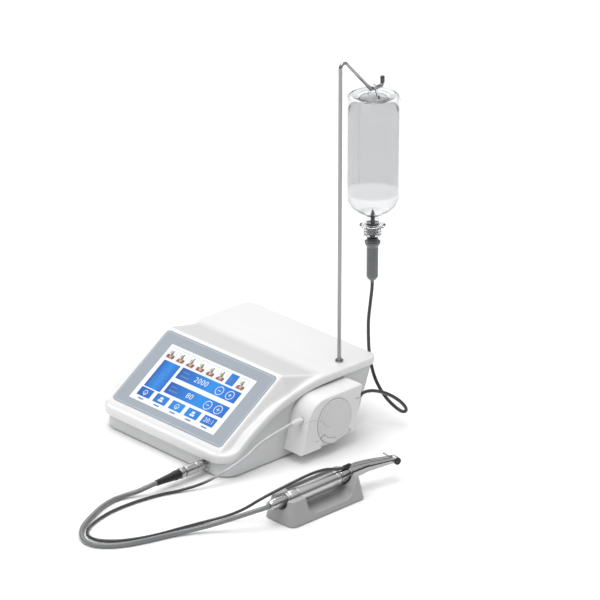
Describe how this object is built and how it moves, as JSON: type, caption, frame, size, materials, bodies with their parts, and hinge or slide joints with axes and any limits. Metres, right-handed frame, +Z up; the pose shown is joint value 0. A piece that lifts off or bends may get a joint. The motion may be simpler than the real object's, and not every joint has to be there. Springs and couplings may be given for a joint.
{
  "type": "surgical implant motor set",
  "caption": "Surgical motor set: touch-screen console with a side roller pump, pole with saline bottle, cabled motor handpiece with contra-angle on its stand.",
  "frame": {"origin": "on the table, below the middle of everything but the cords", "axes": "+X along the console's front towards the pump and the handpiece, +Y towards the console's back, +Z up"},
  "size_m": [0.388, 0.5365, 0.4885],
  "materials": {
    "white_cover": "gloss white moulding",
    "grey_base": "satin light grey moulding",
    "front_glass": "pale blue printed border, clear window",
    "lcd": "backlit panel",
    "board": "solder mask",
    "supply": "dull",
    "foot_rubber": "matt",
    "screw_steel": "zinc plated",
    "pump_white": "satin white moulding",
    "track_grey": "smooth",
    "motor_grey": "satin",
    "shaft_steel": "ground",
    "roller_white": "smooth",
    "tube_clear": "clear silicone",
    "nozzle_white": "smooth",
    "black_plastic": "fine texture",
    "pole_chrome": "polished",
    "bottle_clear": "clear plastic",
    "saline": "water",
    "stopper_grey": "matt",
    "cap_clear": "translucent",
    "spike_dark": "smooth",
    "chamber_grey": "translucent grey",
    "supply_dark": "smooth",
    "plug_metal": "fluted, bead blasted",
    "cable_grey": "glossy silicone",
    "hose_clear": "clear silicone",
    "motor_alu": "satin anodised",
    "copper": "enamelled windings",
    "bearing_steel": "ground",
    "rotor_dark": "ground",
    "head_chrome": "bright, lightly satin",
    "stand_grey": "satin silicone-coated",
    "pad_rubber": "matt"
  },
  "bodies": {
    "console": {"base_shell": "grey_base", "top_cover": "white_cover", "screen_glass": "front_glass", "display_panel": "lcd", "control_board": "board", "power_supply": "supply", "rubber_feet": "foot_rubber", "case_screws": "screw_steel", "pump_housing": "pump_white", "pump_track": "track_grey", "pump_gearmotor": "motor_grey", "pump_tube": "tube_clear", "outlet_nozzle": "nozzle_white", "inlet_fitting": "black_plastic", "pole_socket": "pole_chrome", "pole_lower": "pole_chrome", "pole_upper": "pole_chrome", "hook_arm": "pole_chrome", "supply_tube": "supply_dark", "motor_socket": "screw_steel", "plug_body": "plug_metal", "strain_relief": "black_plastic", "motor_cable": "cable_grey", "handpiece_stand": "stand_grey", "stand_pad": "pad_rubber", "fan_frame": "black_plastic", "power_inlet": "black_plastic", "pedal_socket": "screw_steel"},
    "pump_rotor": {"pump_rotor": "track_grey", "pump_shaft": "shaft_steel", "roller_pins": "shaft_steel"},
    "roller_1": {"roller_1": "roller_white"},
    "roller_2": {"roller_2": "roller_white"},
    "roller_3": {"roller_3": "roller_white"},
    "pump_cover": {"pump_cover": "pump_white"},
    "plug_sleeve": {"plug_sleeve": "plug_metal"},
    "fan_rotor": {"fan_rotor": "black_plastic"},
    "power_rocker": {"power_rocker": "black_plastic"},
    "bottle": {"bottle": "bottle_clear", "saline": "saline", "bottle_stopper": "stopper_grey", "bottle_cap": "cap_clear", "bottle_hanger": "cap_clear", "spike": "spike_dark", "drip_chamber": "chamber_grey"},
    "handpiece": {"motor_housing": "motor_alu", "motor_stator": "copper", "motor_bearings": "bearing_steel", "cable_nut": "plug_metal", "contra_angle_body": "head_chrome", "irrigation_pipe": "shaft_steel", "irrigation_tube": "hose_clear"},
    "motor_rotor": {"motor_rotor": "rotor_dark"},
    "drive_shaft": {"drive_shaft": "rotor_dark"},
    "neck_shaft": {"neck_shaft": "rotor_dark"},
    "bur": {"bur_spindle": "bearing_steel", "bur": "shaft_steel"},
    "chuck_button": {"chuck_button": "black_plastic"}
  },
  "joints": [
    {"name": "pump_rotor_spin", "type": "hinge", "parent": "console", "child": "pump_rotor", "pos_m": [0.062, 0.0275, 0.044], "axis": [1, 0, 0], "continuous": true},
    {"name": "roller_1_spin", "type": "hinge", "parent": "pump_rotor", "child": "roller_1", "pos_m": [0.062, 0.03876, 0.0505], "axis": [1, 0, 0], "continuous": true},
    {"name": "roller_2_spin", "type": "hinge", "parent": "pump_rotor", "child": "roller_2", "pos_m": [0.062, 0.01624, 0.0505], "axis": [1, 0, 0], "continuous": true},
    {"name": "roller_3_spin", "type": "hinge", "parent": "pump_rotor", "child": "roller_3", "pos_m": [0.062, 0.0275, 0.031], "axis": [1, 0, 0], "continuous": true},
    {"name": "pump_cover_turn", "type": "hinge", "parent": "console", "child": "pump_cover", "pos_m": [0.072, 0.0275, 0.044], "axis": [1, 0, 0], "range_deg": [0, 60]},
    {"name": "plug_sleeve_slide", "type": "slide", "parent": "console", "child": "plug_sleeve", "axis": [0, -1, 0], "range_m": [0, 0.002], "stiffness_N_per_m": 400, "springref_m": -0.001},
    {"name": "fan_spin", "type": "hinge", "parent": "console", "child": "fan_rotor", "pos_m": [-0.136, 0.09926, 0.03536], "axis": [0, -0.9317, 0.3633], "continuous": true},
    {"name": "power_rocker_tilt", "type": "hinge", "parent": "console", "child": "power_rocker", "pos_m": [-0.062, 0.10566, 0.04628], "axis": [1, 0, 0], "range_deg": [0, 14]},
    {"name": "bottle_swing", "type": "hinge", "parent": "console", "child": "bottle", "pos_m": [0.0255, 0.1395, 0.441], "axis": [0, 1, 0], "range_deg": [-8, 8]},
    {"name": "handpiece_lift", "type": "slide", "parent": "console", "child": "handpiece", "axis": [0, 0, 1], "range_m": [0, 0.06]},
    {"name": "motor_rotor_spin", "type": "hinge", "parent": "handpiece", "child": "motor_rotor", "pos_m": [0.169, -0.1025, 0.0275], "axis": [0, 1, 0], "continuous": true},
    {"name": "drive_shaft_spin", "type": "hinge", "parent": "handpiece", "child": "drive_shaft", "pos_m": [0.169, -0.0325, 0.0275], "axis": [0, 1, 0], "continuous": true},
    {"name": "neck_shaft_spin", "type": "hinge", "parent": "handpiece", "child": "neck_shaft", "pos_m": [0.169, -0.0165, 0.0275], "axis": [0.2588, 0.9659, 0], "continuous": true},
    {"name": "bur_spin", "type": "hinge", "parent": "handpiece", "child": "bur", "pos_m": [0.18065, 0.02697, 0.0275], "axis": [-0.9925, 0.1219, 0], "continuous": true},
    {"name": "chuck_button_press", "type": "slide", "parent": "handpiece", "child": "chuck_button", "axis": [-0.9925, 0.1219, 0], "range_m": [0, 0.0008], "stiffness_N_per_m": 400, "springref_m": -0.001}
  ],
  "couplings": [
    {"joint": "roller_1_spin", "follows": "pump_rotor_spin", "ratio": -3.766},
    {"joint": "roller_2_spin", "follows": "pump_rotor_spin", "ratio": -3.766},
    {"joint": "roller_3_spin", "follows": "pump_rotor_spin", "ratio": -3.766},
    {"joint": "drive_shaft_spin", "follows": "motor_rotor_spin", "ratio": 1},
    {"joint": "neck_shaft_spin", "follows": "motor_rotor_spin", "ratio": -0.118},
    {"joint": "bur_spin", "follows": "motor_rotor_spin", "ratio": -0.05}
  ]
}
